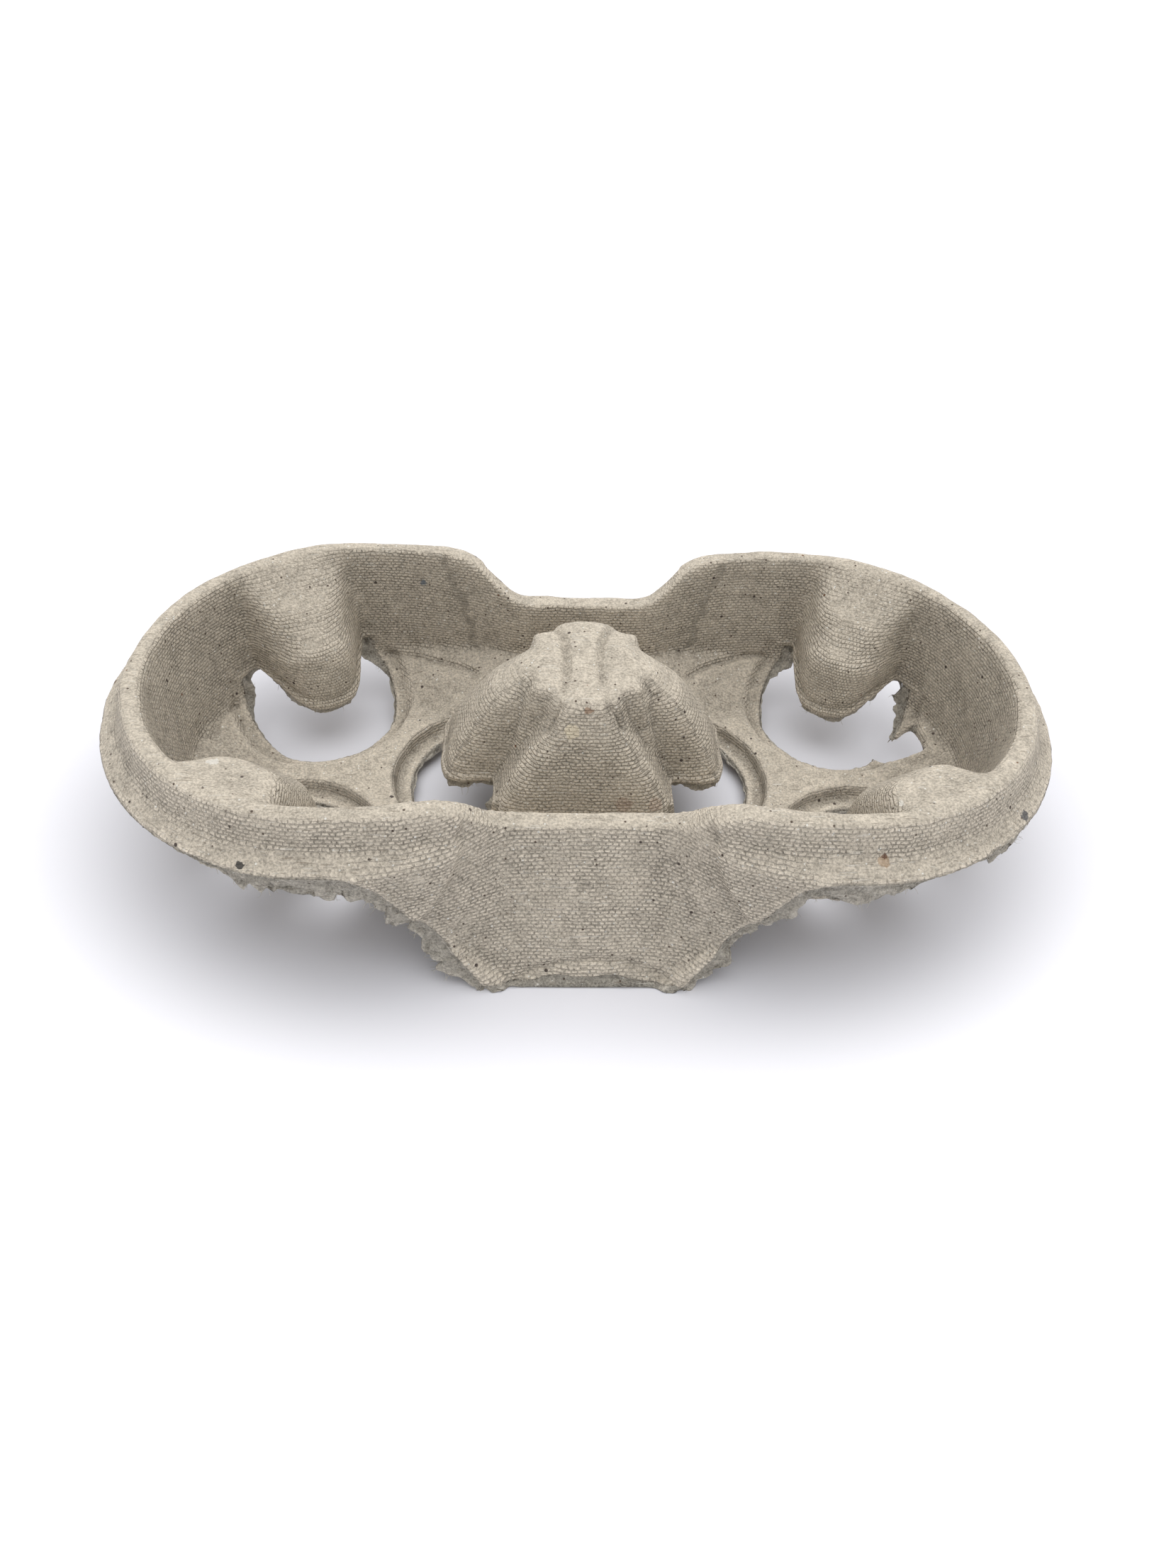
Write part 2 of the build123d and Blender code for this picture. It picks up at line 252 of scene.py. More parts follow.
# The lamp, and the photo's camera as solved from the rims, the flange and the feet
LAMP_SPREAD = 70
LAMP_LEAN = (-14, 4, 0)
CAMERA_PITCH, CAMERA_YAW, CAMERA_ROLL = 0.819124, 0.062282, -0.058723
CAMERA_PLACE = (-0.008359, -0.165688, 0.181991)


def deselect_all():
    if bpy.context.object and bpy.context.object.mode != "OBJECT":
        bpy.ops.object.mode_set(mode="OBJECT")
    bpy.ops.object.select_all(action="DESELECT")


def make_active(piece):
    deselect_all()
    piece.select_set(True)
    bpy.context.view_layer.objects.active = piece


def read(items, name, width=3):
    """One property of all items, as rows of that width."""
    values = np.empty(len(items) * width, np.float32)
    items.foreach_get(name, values)
    return values.reshape(-1, width).astype(float)


def points_of(mesh):
    return read(mesh.vertices, "co")


def normals_of(mesh):
    return read(mesh.vertex_normals, "vector")


def put_points(mesh, co):
    """Moves the points, rounded to a ten-thousandth of a millimetre so that each run is alike."""
    mesh.vertices.foreach_set("co", np.round(co, 7).astype(np.float32).ravel())
    mesh.update()


def noise_at(points, size, seed, octaves=3):
    """Smooth noise from about -1 to 1 at each point, with lumps of that size."""
    shift = Vector((seed * 3.1, seed * 5.7, seed * 7.3))
    values = []
    for p in points:
        place = Vector(p) / size + shift
        place += 0.9 * noise.noise_vector(place * 0.37)
        values.append(noise.fractal(place, 1.0, 2.0, octaves))
    return np.array(values)


def fade(value, low, high):
    """From 0 at low to 1 at high, with soft ends."""
    t = np.clip((value - low) / (high - low), 0.0, 1.0)
    return t * t * (3 - 2 * t)


def ridge(value, middle, width):
    """1 at the middle, falling to nothing over about twice the width."""
    return np.exp(-(((value - middle) / width) ** 2))


def cup_reach(x, y):
    """How far a point lies from the axis of its cup."""
    return np.hypot(np.abs(x) - CUP_X, y)


def on_skirt(x, y, z):
    """Whether a point belongs to the skirt outside the rim, whose lower part is cut to legs."""
    outside = cup_reach(x, y) > SKIRT_REACH
    return outside & ((np.abs(x) > CUP_X) | (np.abs(y) > WAIST_REACH))


def trim_depth(x, z):
    """How far a point lies inside the part cut off the skirt, seen from the front."""
    x = np.abs(x)
    run = Vector((LEG_TOP - LEG_FOOT, FLANGE_HEIGHT)).normalized()
    beside = (x - LEG_FOOT) * run.y - z * run.x
    below = FLANGE_HEIGHT - z
    centre_z = FLANGE_HEIGHT - LEG_ROUND
    centre_x = LEG_FOOT + (LEG_ROUND + centre_z * run.x) / run.y
    right, up = x - centre_x, z - centre_z
    corner = (right < 0) & (right * run.x + up * run.y > 0)
    return np.where(corner, LEG_ROUND - np.hypot(right, up), np.minimum(beside, below))


def floor_place(reach, degrees):
    """Place in the right well, seen from above."""
    angle = math.radians(degrees)
    return CUP_X + reach * math.cos(angle), reach * math.sin(angle)


def torn_depth(x, y):
    """How far a point lies inside the corner torn out of the floor, seen from above."""
    corners = [floor_place(reach, degrees) for reach, degrees in TORN_CORNER]
    middle = np.mean(corners, axis=0)
    depth = np.ones(len(x))
    for (ax, ay), (bx, by) in zip(corners, corners[1:] + corners[:1]):
        length = math.hypot(bx - ax, by - ay)
        nx, ny = (by - ay) / length, (ax - bx) / length
        if (middle[0] - ax) * nx + (middle[1] - ay) * ny < 0:
            nx, ny = -nx, -ny
        depth = np.minimum(depth, (x - ax) * nx + (y - ay) * ny)
    return depth


def window_depth(x, y, z):
    """How far a point lies inside the nearest window, which its flap's edge closes above."""
    deepest = torn_depth(x, y)
    for side in (-1, 1):
        for k in range(WINDOWS):
            turn = math.radians(k * 360 / WINDOWS + (0 if side < 0 else 180))
            along = (x - side * CUP_X) * math.cos(turn) + y * math.sin(turn)
            across = y * math.cos(turn) - (x - side * CUP_X) * math.sin(turn)
            tip, height = WING_TIP if k == 0 else FLAP_TIP
            reach = INNER_REACH if k == 0 else OUTER_REACH
            rise = (NOTCH[1] - height) / (NOTCH[0] - tip)
            depth = (height + rise * (along - tip) - z) / math.hypot(1, rise)
            depth = np.minimum(depth, WINDOW_RADIUS - np.hypot(along - WINDOW_REACH, across))
            depth = np.minimum(depth, reach - np.hypot(along, across))
            deepest = np.maximum(deepest, depth)
    return deepest


def edge_depth(co):
    """How far each point lies beyond the cut edges, negative inside the tray."""
    x, y, z = co.T
    return np.where(on_skirt(x, y, z), trim_depth(x, z), window_depth(x, y, z))


def edge_slope(co, step=0.00005):
    """Direction at each point in which the tray was cut back."""
    slope = np.zeros_like(co)
    for axis in range(3):
        shift = np.zeros(3)
        shift[axis] = step
        slope[:, axis] = edge_depth(co + shift) - edge_depth(co - shift)
    return slope / np.maximum(np.linalg.norm(slope, axis=1), 1e-9)[:, None]


def torn_length(co):
    """How far the torn pulp reaches beyond the cut edges, from place to place."""
    x, y, z = co.T
    front = np.full(len(x), LEAST_TATTER)
    for start, end, length in FRONT_TATTERS:
        front = front + fade(x, *start) * (1 - fade(x, *end)) * length
    swell = np.sin(x * 97.0 + 1.3) + np.sin(x * 41.0)
    back = np.clip(BACK_TATTER + BACK_SWELL * swell, *BACK_LIMITS)
    flange = np.where(y < 0, front, back)
    low = fade(FLANGE_HEIGHT - z, *LEG_TATTER_START)
    skirt = flange + (LEG_TATTER - flange) * low - FOOT_SHORTENING * (1 - fade(z, *FOOT_ZONE))
    beside_flap = fade(z, *FLAP_TATTER_START)
    window = WINDOW_TATTER + FLAP_TATTER * beside_flap * (1 - fade(z, *FLAP_TATTER_END))
    return np.where(on_skirt(x, y, z), skirt, window)


def frayed_foot(co, sway):
    """1 on the raw, frayed foot of the legs and 0 above it."""
    x, y, z = co.T
    height = FRAY_HEIGHT + sway * np.sin(x * FRAY_WAVES[0]) * np.sin(x * FRAY_WAVES[1])
    return on_skirt(x, y, z) * (1 - fade(z, height, height + FRAY_END))


def crease_height(co):
    """Height of the mould's folds at each point, negative in a groove."""
    total = np.zeros(len(co))
    for path, width, depth in CREASES:
        near = np.ones(len(co))
        path = np.array(path) / 1000
        for a, b in zip(path, path[1:]):
            t = np.clip(((co - a) * (b - a)).sum(1) / ((b - a) ** 2).sum(), 0, 1)
            near = np.minimum(near, np.linalg.norm(co - a - t[:, None] * (b - a), axis=1))
        total -= depth / 1000 * ridge(near, 0, width / 1000)
    return total


def lip_height(co, depth):
    """Height of the lip before each cut edge, which is a bead and a groove along the flaps."""
    height, place, width = EDGE_LIP
    lip = height * ridge(depth, place, width)
    height, place, width = FLAP_BEAD
    bead = height * ridge(depth, place, width)
    height, place, width = FLAP_GROOVE
    bead -= height * ridge(depth, place, width)
    flap = ~on_skirt(*co.T) & (np.abs(co[:, 2] - FLAP_EDGE_HEIGHT) < FLAP_EDGE_SPREAD)
    return np.where(flap, bead, lip)


def bend_of(mesh, co, out, rounds=4):
    """How strongly the surface bends at each point, positive on outward edges."""
    ends = np.empty(len(mesh.edges) * 2, np.int32)
    mesh.edges.foreach_get("vertices", ends)
    a, b = ends.reshape(-1, 2).T
    count = np.bincount(a, minlength=len(co)) + np.bincount(b, minlength=len(co))

    def spread(values):
        return np.bincount(a, values[b], len(co)) + np.bincount(b, values[a], len(co))

    middle = np.stack([spread(co[:, k]) for k in range(3)], 1) / count[:, None]
    bend = ((co - middle) * out).sum(1)
    for _ in range(rounds):
        bend = 0.5 * bend + 0.5 * spread(bend) / count
    return bend * 1000


def wire_place(co, out):
    """Place of each point on the forming wire: along it, up it, and how strongly it prints."""
    x, y, z = co.T
    beside = np.abs(x) - CUP_X
    along = WELL_RADIUS * np.arctan2(y, beside)
    bow = SKIRT_RADIUS * np.arctan2(beside, np.abs(y)) - beside
    around = np.abs(x) + np.where(beside > 0, bow, 0)
    outer = cup_reach(x, y) > WALL_REACH
    along = np.where(outer & (np.abs(y) > WAIST_START) | outer & (beside > 0), around, along)
    middle = (np.abs(x) < DIVIDER_BOX[0]) & (np.abs(y) < DIVIDER_BOX[1])
    along = np.where(middle, np.where(np.abs(out[:, 0]) > np.abs(out[:, 1]), y, x), along)
    steep = np.hypot(out[:, 0], out[:, 1])
    return np.stack((along, z, fade(steep, *STEEP_FACE)), 1)


class CarrierPulp(PropertyGroup):
    voxel: FloatProperty(
        name="Surface grid", description="Size of the grid that the skin is remade on",
        default=0.0006, min=0.0003, unit="LENGTH")
    softening: IntProperty(
        name="Softening", description="How often the moulded edges are smoothed", default=12)
    crest_softening: IntProperty(
        name="Crest softening", description="How often the rim and divider are smoothed more", default=24)
    flap_softening: IntProperty(
        name="Flap softening", description="How often the flaps' shelves are smoothed more", default=90)
    back_sag: FloatProperty(
        name="Back sag", description="How far the shelves of the two back flaps have sunk",
        default=0.0045, unit="LENGTH")
    wave_height: FloatProperty(
        name="Wave height", description="Height of the soft unevenness of the walls",
        default=0.00035, unit="LENGTH")
    wave_length: FloatProperty(
        name="Wave length", description="Size of the soft unevenness of the walls",
        default=0.016, unit="LENGTH")
    set_back: FloatProperty(
        name="Step", description="How far the torn pulp lies under the moulded face",
        default=0.0009, unit="LENGTH")
    crumb_height: FloatProperty(
        name="Crumbs", description="Height of the crumbs on torn pulp",
        default=0.0009, unit="LENGTH")
    colour: FloatVectorProperty(
        name="Pulp", description="Colour of the moulded face", subtype="COLOR",
        default=(0.520, 0.465, 0.385), min=0.0, max=1.0)
    # The raw edge colour is greyer than the moulded face, as torn pulp is, and also darker as painted
    # shade for the fringes that lie in shade inside the windows.
    raw_and_shade_colour: FloatVectorProperty(
        name="Raw edge", description="Colour of torn and trimmed edges", subtype="COLOR",
        default=(0.48, 0.445, 0.385), min=0.0, max=1.0)


class CarrierFibres(PropertyGroup):
    count: IntProperty(
        name="Fibres", description="Number of loose fibres on the torn edges", default=1500)
    length: FloatProperty(
        name="Length", description="Length of a fibre", default=0.0022, unit="LENGTH")
    thickness: FloatProperty(
        name="Thickness", description="Thickness of a fibre", default=0.00013, unit="LENGTH")
    curl: FloatProperty(
        name="Curl", description="Turn from one end of a fibre to the other",
        default=1.6, subtype="ANGLE")
    segments: IntProperty(
        name="Segments", description="Straight parts in one fibre", default=5)


class CarrierStage(PropertyGroup):
    floor_size: FloatProperty(
        name="Floor", description="Side of the square floor", default=12.0, unit="LENGTH")
    sun_strength: FloatProperty(
        name="Lamp", description="Strength of the soft overhead lamp", default=1.75)
    sky_strength: FloatProperty(
        name="Fill", description="Strength of the even light from all round", default=0.64)
    lens: FloatProperty(
        name="Lens", description="Focal length of the camera in millimetres", default=28.97)


class Nodes:
    """Short calls for building one material's nodes."""

    def __init__(self, name):
        self.material = bpy.data.materials.new(name)
        self.material.use_nodes = True
        self.tree = self.material.node_tree
        self.tree.nodes.clear()

    def add(self, kind, **settings):
        node = self.tree.nodes.new(kind)
        for key, value in settings.items():
            setattr(node, key, value)
        return node

    def join(self, source, target):
        self.tree.links.new(source, target)

    def place(self):
        return self.add("ShaderNodeTexCoord").outputs["Object"]

    def attribute(self, name, output="Fac"):
        return self.add("ShaderNodeAttribute", attribute_name=name).outputs[output]

    def math(self, operation, a, b):
        node = self.add("ShaderNodeMath", operation=operation)
        for socket, value in zip(node.inputs, (a, b)):
            if isinstance(value, (int, float)):
                socket.default_value = value
            else:
                self.join(value, socket)
        return node.outputs[0]

    def plus(self, total, *values):
        for value in values:
            total = self.math("ADD", total, value)
        return total

    def minus(self, a, b):
        return self.math("SUBTRACT", a, b)

    def times(self, a, b):
        return self.math("MULTIPLY", a, b)

    def band(self, value, low, high, to_low=0.0, to_high=1.0):
        node = self.add("ShaderNodeMapRange", clamp=True, interpolation_type="SMOOTHSTEP")
        self.join(value, node.inputs["Value"])
        node.inputs["From Min"].default_value = low
        node.inputs["From Max"].default_value = high
        node.inputs["To Min"].default_value = to_low
        node.inputs["To Max"].default_value = to_high
        return node.outputs["Result"]

    def swing(self, value, amount):
        """Turns noise into a change of brightness, that much either way."""
        return self.band(value, 0.3, 0.7, -amount, amount)

    def noise(self, vector, scale, detail=3.0, rough=0.5):
        node = self.add("ShaderNodeTexNoise")
        self.join(vector, node.inputs["Vector"])
        node.inputs["Scale"].default_value = scale
        node.inputs["Detail"].default_value = detail
        node.inputs["Roughness"].default_value = rough
        return node.outputs["Fac"]

    def mapped(self, vector, turn=(0, 0, 0), scale=(1, 1, 1), shift=(0, 0, 0)):
        node = self.add("ShaderNodeMapping")
        self.join(vector, node.inputs["Vector"])
        node.inputs["Rotation"].default_value = turn
        node.inputs["Scale"].default_value = scale
        node.inputs["Location"].default_value = shift
        return node.outputs["Vector"]

    def mix(self, amount, a, b):
        node = self.add("ShaderNodeMix", data_type="RGBA")
        for socket, value in ((node.inputs[0], amount), (node.inputs[6], a), (node.inputs[7], b)):
            if isinstance(value, tuple):
                socket.default_value = (*value, 1.0)
            else:
                self.join(value, socket)
        return node.outputs[2]

    def matt(self, tone, roughness, normal=None):
        """Ends the material as a rough surface that barely shines."""
        shader = self.add("ShaderNodeBsdfPrincipled")
        self.join(tone, shader.inputs["Base Color"])
        shader.inputs["Roughness"].default_value = roughness
        shader.inputs["Specular IOR Level"].default_value = 0.25
        if normal is not None:
            self.join(normal, shader.inputs["Normal"])
        return self.ended(shader)

    def ended(self, shader):
        out = self.add("ShaderNodeOutputMaterial")
        self.join(shader.outputs[0], out.inputs["Surface"])
        return self.material


def wire_print(n, place, raw):
    """Rows of the forming wire: where they print at all, and the printed lines."""
    wire = n.add("ShaderNodeSeparateXYZ")
    n.join(n.attribute("wire", "Vector"), wire.inputs[0])
    along = n.plus(wire.outputs[0], n.times(n.noise(place, 500.0, 2.0), 0.0016))
    rows = n.plus(wire.outputs[1], n.times(n.noise(place, 260.0, 2.0), 0.0009))
    wire_point = n.add("ShaderNodeCombineXYZ")
    n.join(along, wire_point.inputs[0])
    n.join(rows, wire_point.inputs[1])
    bricks = n.add("ShaderNodeTexBrick", offset=0.5, squash=1.0)
    n.join(wire_point.outputs[0], bricks.inputs["Vector"])
    bricks.inputs["Scale"].default_value = 1.0
    bricks.inputs["Mortar Size"].default_value = WIRE_GAP
    bricks.inputs["Mortar Smooth"].default_value = 1.0
    bricks.inputs["Brick Width"].default_value = WIRE_PITCH
    bricks.inputs["Row Height"].default_value = WIRE_ROW
    patches = n.band(n.noise(place, 120.0, 3.0), 0.35, 0.65, 0.55, 1.0)
    share = n.times(n.times(wire.outputs[2], patches), n.minus(1.0, raw))
    return share, n.times(bricks.outputs["Fac"], share)


def with_strands(n, place, tone):
    """Lays pale and dark fibres over the tone, and gives their height too."""
    strands = []
    for k, turn in enumerate(STRAND_TURNS):
        laid = n.mapped(place, turn, STRAND_SCALE, (k, 2 * k, 3 * k))
        strand = n.band(n.noise(laid, 1.0, 1.0, 0.4), 0.69, 0.74)
        tone = n.mix(n.times(strand, 0.5), tone, STRAND_TINTS[k % 2])
        strands.append(strand)
    return tone, n.plus(*strands)


def with_specks(n, place, tone):
    """Scatters small specks over the tone."""
    for cells_per_metre, radius, tint, left_out in SPECKS:
        cells = n.add("ShaderNodeTexVoronoi")
        n.join(n.mapped(place, shift=(cells_per_metre, 0, 0)), cells.inputs["Vector"])
        cells.inputs["Scale"].default_value = cells_per_metre
        split = n.add("ShaderNodeSeparateColor")
        n.join(cells.outputs["Color"], split.inputs[0])
        spot = n.band(cells.outputs["Distance"], radius, radius * 0.6)
        chosen = n.band(split.outputs[0], left_out, left_out + 0.02)
        tone = n.mix(n.times(spot, chosen), tone, tint)
    return tone


def with_marks(n, place, tone):
    """Puts the stains and chips on the tone, each with a wandering outline."""
    wander = n.times(n.minus(n.noise(place, 900.0, 3.0, 0.6), 0.5), 0.0022)
    for mark_place, radius, tint, strength in MARKS:
        away = n.add("ShaderNodeVectorMath", operation="DISTANCE")
        n.join(place, away.inputs[0])
        away.inputs[1].default_value = [value / 1000 for value in mark_place]
        near = n.plus(away.outputs["Value"], wander)
        tone = n.mix(n.band(near, radius / 1000, radius / 1300, 0.0, strength), tone, tint)
    return tone


def pulp_finish(colour, raw_and_shade_colour):
    """Grey moulded paper pulp, with the print of the wire, fibres, specks and torn edges, and with
    painted shade in its creases and along the torn step and a painted highlight on its outward edges.
    """
    n = Nodes("grey_paper_pulp")
    place = n.place()
    raw = n.attribute("raw")
    bend = n.attribute("bend")
    clouds = n.noise(place, 55.0, 3.0)
    mottle = n.noise(place, 420.0, 4.0, 0.6)
    grain = n.noise(place, 1900.0, 3.0, 0.6)
    share, printed = wire_print(n, place, raw)

    # Painted light from the bend: outward edges are lightened as a painted highlight, and inward creases
    # are darkened as painted shade.
    painted_bend_light = n.band(bend, -0.10, 0.10, -0.20, 0.20)
    shade = n.plus(n.swing(clouds, 0.035), n.swing(mottle, 0.13), n.swing(grain, 0.28), painted_bend_light)
    shade = n.minus(shade, n.times(printed, 0.30))
    shade = n.plus(shade, n.times(share, 0.24))
    # Painted shadow: a dark line where the torn pulp steps down from the moulded face.
    painted_step_shadow = n.times(n.band(raw, 0.05, 0.35), n.band(raw, 0.55, 0.95, 1.0, 0.0))
    shade = n.minus(shade, n.times(painted_step_shadow, 0.40))
    shaded = n.add("ShaderNodeVectorMath", operation="SCALE")
    # Torn pulp takes the raw colour, part of whose darkness is painted shade.
    n.join(n.mix(raw, tuple(colour), tuple(raw_and_shade_colour)), shaded.inputs[0])
    n.join(n.plus(shade, 1.0), shaded.inputs["Scale"])

    tone, strand_height = with_strands(n, place, shaded.outputs[0])
    tone = with_specks(n, place, tone)
    tone = with_marks(n, place, tone)

    height = n.plus(n.times(grain, 0.9), n.times(mottle, 1.2), n.times(strand_height, 0.15))
    height = n.minus(height, printed)
    crumbs = n.noise(place, 900.0, 5.0, 0.75)
    height = n.plus(height, n.times(n.times(crumbs, raw), 1.8))
    bump = n.add("ShaderNodeBump")
    bump.inputs["Strength"].default_value = 1.0
    bump.inputs["Distance"].default_value = 0.00035
    n.join(height, bump.inputs["Height"])
    return n.matt(tone, 0.92, bump.outputs["Normal"])


def fibre_finish(colour):
    """Pale loose fibres, some of them darker."""
    n = Nodes("loose_pulp_fibre")
    darker = tuple(0.75 * part for part in colour)
    tone = n.mix(n.band(n.noise(n.place(), 300.0, 2.0), 0.3, 0.7), darker, tuple(colour))
    return n.matt(tone, 0.9)


def floor_finish():
    """A white sheet that stays white to the camera and keeps a soft shadow, deepened by painted shade
    where its glow fades under and around the tray.
    """
    n = Nodes("white_sheet")
    path = n.add("ShaderNodeLightPath")
    seen = n.math("MAXIMUM", path.outputs["Is Camera Ray"], path.outputs["Is Glossy Ray"])
    seen = n.math("MAXIMUM", seen, path.outputs["Is Transmission Ray"])
    paper = n.add("ShaderNodeBsdfDiffuse")
    paper.inputs["Color"].default_value = SHEET_COLOUR_BLUE_IN_SHADE
    glow = n.add("ShaderNodeEmission")
    glow.inputs["Color"].default_value = WHITE
    # Painted shade: the glow fades out under and around the tray, so the sheet there is darker than the
    # lamps make it.
    away = n.add("ShaderNodeVectorMath", operation="LENGTH")
    n.join(n.mapped(n.place(), scale=SHEET_SCALE), away.inputs[0])
    n.join(n.times(seen, n.band(away.outputs["Value"], *SHEET_GLOW_AND_PAINTED_SHADE)), glow.inputs["Strength"])
    total = n.add("ShaderNodeAddShader")
    n.join(paper.outputs[0], total.inputs[0])
    n.join(glow.outputs[0], total.inputs[1])
    return n.ended(total)


def merged_copy():
    """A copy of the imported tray, with its loose triangles merged."""
    piece = bpy.data.objects.new("pulp_tray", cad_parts["tray"].data.copy())
    bpy.context.scene.collection.objects.link(piece)
    make_active(piece)
    bpy.ops.object.mode_set(mode="EDIT")
    bpy.ops.mesh.select_all(action="SELECT")
    bpy.ops.mesh.remove_doubles(threshold=MERGE_DISTANCE)
    bpy.ops.mesh.select_all(action="DESELECT")
    bpy.ops.object.mode_set(mode="OBJECT")
    return piece


def draw_out_cuts(piece):
    """Draws raw pulp out of every cut edge of the piece."""
    mesh = piece.data
    centre = read(mesh.polygons, "center")
    facing = (read(mesh.polygons, "normal") * edge_slope(centre)).sum(1)
    cut = (np.abs(edge_depth(centre)) < CUT_TOLERANCE) & (facing > CUT_FACING)
    cut &= centre[:, 2] > FOOT_CLEARANCE
    cut &= on_skirt(*centre.T) | (torn_depth(centre[:, 0], centre[:, 1]) < -TORN_CORNER_MARGIN)
    bpy.context.tool_settings.mesh_select_mode = (False, False, True)
    mesh.polygons.foreach_set("select", cut)
    mesh.update()
    bpy.ops.object.mode_set(mode="EDIT")
    bpy.ops.mesh.extrude_region_move()
    bpy.ops.object.mode_set(mode="OBJECT")
    moved = np.empty(len(mesh.vertices), bool)
    mesh.vertices.foreach_get("select", moved)
    co = points_of(mesh)
    length = np.where(on_skirt(*co.T), SKIRT_DRAW, WINDOW_DRAW)
    co[moved] += (edge_slope(co) * length[:, None])[moved]
    put_points(mesh, co)


def remake_skin(piece, voxel):
    """Remakes the piece's surface on an even grid."""
    remade = piece.modifiers.new("even_skin", "REMESH")
    remade.mode = "VOXEL"
    remade.voxel_size = voxel
    bpy.ops.object.modifier_apply(modifier="even_skin")


def soften(piece, name, times, weights=None):
    """Smooths the piece, where there are weights by steps of a tenth."""
    smooth = piece.modifiers.new(name, "SMOOTH")
    smooth.factor = 0.5
    smooth.iterations = times
    if weights is not None:
        group = piece.vertex_groups.new(name=name)
        levels = np.round(weights * 10).astype(int)
        for level in range(1, 11):
            chosen = np.nonzero(levels == level)[0].tolist()
            group.add(chosen, level / 10, "REPLACE")
        smooth.vertex_group = name
    bpy.ops.object.modifier_apply(modifier=name)
    piece.vertex_groups.clear()


def soften_forms(piece, look):
    """Rounds all moulded edges, and more so the rim, the divider, the shelves and the ledges."""
    soften(piece, "soft_edges", look.softening)
    x, y, z = points_of(piece.data).T
    divider = (np.abs(x) < DIVIDER_LENGTH) * (1 - fade(np.abs(y), *DIVIDER_WIDTH))
    crest = np.maximum(fade(z, *CREST_HEIGHT), fade(z, *DIVIDER_HEIGHT) * divider)
    soften(piece, "soft_crest", look.crest_softening, crest)
    inside = 1 - fade(cup_reach(x, y), *WELL_WALL)
    shelves = inside * (np.abs(x) > FLAP_START) * fade(z, *FLAP_HEIGHT)
    ledges = LEDGE_SHARE * inside * (np.abs(x) > LEDGE_START) * (1 - fade(z, *LEDGE_HEIGHT))
    top = DIVIDER_TOP_SHARE * (fade(z, *DIVIDER_TOP) * divider)
    shelves = np.maximum(np.maximum(shelves, ledges), top)
    soften(piece, "soft_shelves", look.flap_softening, shelves)


def sink_back_flaps(piece, sag):
    """Lets the shelves of the two back flaps sink."""
    co = points_of(piece.data)
    x, y, z = co.T
    reach = cup_reach(x, y)
    behind = fade(y, *SAG_BEHIND) * (np.abs(x) > FLAP_START) * fade(z, *SAG_HEIGHT)
    co[:, 2] -= sag * behind * fade(reach, *SAG_START) * (1 - fade(reach, *SAG_END))
    put_points(piece.data, co)


def tear_edges(piece, look):
    """Waves and folds the skin, and tears the drawn out pulp back to a ragged edge."""
    co = points_of(piece.data)
    out = normals_of(piece.data)
    depth = edge_depth(co)
    slope = edge_slope(co)
    side = 1 - np.abs((out * slope).sum(1))
    edge = co - slope * depth[:, None]
    beyond = np.nonzero(depth > TORN_ZONE)[0]
    lumps = LUMP_SHARE * np.abs(noise_at(edge[beyond], LUMP_SIZE, LUMP_SEED, 2))
    lumps = lumps + TATTER_SHARE * np.abs(noise_at(edge[beyond], TATTER_SIZE, TATTER_SEED, 2))
    ragged = np.zeros(len(co))
    ragged[beyond] = lumps - MEAN_LUMP
    drawn = np.where(on_skirt(*co.T), SKIRT_DRAW, WINDOW_DRAW)
    length = torn_length(edge) * np.clip(1 + ragged, *LENGTH_LIMITS)
    reach = np.maximum(depth, 0) * (length / drawn - 1)
    reach += INNER_WANDER * ragged * fade(depth, *INNER_ZONE)

    torn = np.maximum(fade(depth, *TORN_BAND), frayed_foot(co, FRAY_SWAY))
    crumbs = np.zeros(len(co))
    crumbs[beyond] = noise_at(co[beyond], CRUMB_SIZE, CRUMB_SEED, 4)
    wave = noise_at(co, look.wave_length, WAVE_SEED) * look.wave_height
    dimple = noise_at(co, DIMPLE_SIZE, DIMPLE_SEED, 2) * DIMPLE_HEIGHT
    rise = wave + dimple + crease_height(co) + side * (lip_height(co, depth) - look.set_back * torn)
    on_edge = CRUMB_SHARE_ON_FACE + (1 - CRUMB_SHARE_ON_FACE) * side
    rise += crumbs * look.crumb_height * torn * on_edge
    co += out * rise[:, None] + slope * reach[:, None]
    low, high = [np.array(corner) for corner in packed_box]
    put_points(piece.data, np.clip(co, low, high))
    soften(piece, "settled_edges", SETTLING, torn)


def thin_out(piece):
    """Brings the piece down to its number of triangles."""
    fewer = piece.modifiers.new("fewer_faces", "DECIMATE")
    fewer.ratio = min(1.0, TRIANGLES / (2 * len(piece.data.polygons)))
    bpy.ops.object.modifier_apply(modifier="fewer_faces")
    bpy.ops.object.shade_smooth()


def add_attribute(mesh, name, kind, field, values):
    layer = mesh.attributes.new(name, kind, "POINT")
    layer.data.foreach_set(field, values.astype(np.float32).ravel())


def mark_surface(mesh):
    """Gives the material what it follows: torn pulp, bent edges and the place on the wire."""
    co = points_of(mesh)
    out = normals_of(mesh)
    raw = np.maximum(fade(edge_depth(co), *RAW_BAND), frayed_foot(co, RAW_SWAY))
    add_attribute(mesh, "raw", "FLOAT", "value", raw)
    add_attribute(mesh, "bend", "FLOAT", "value", bend_of(mesh, co, out))
    add_attribute(mesh, "wire", "FLOAT_VECTOR", "vector", wire_place(co, out))


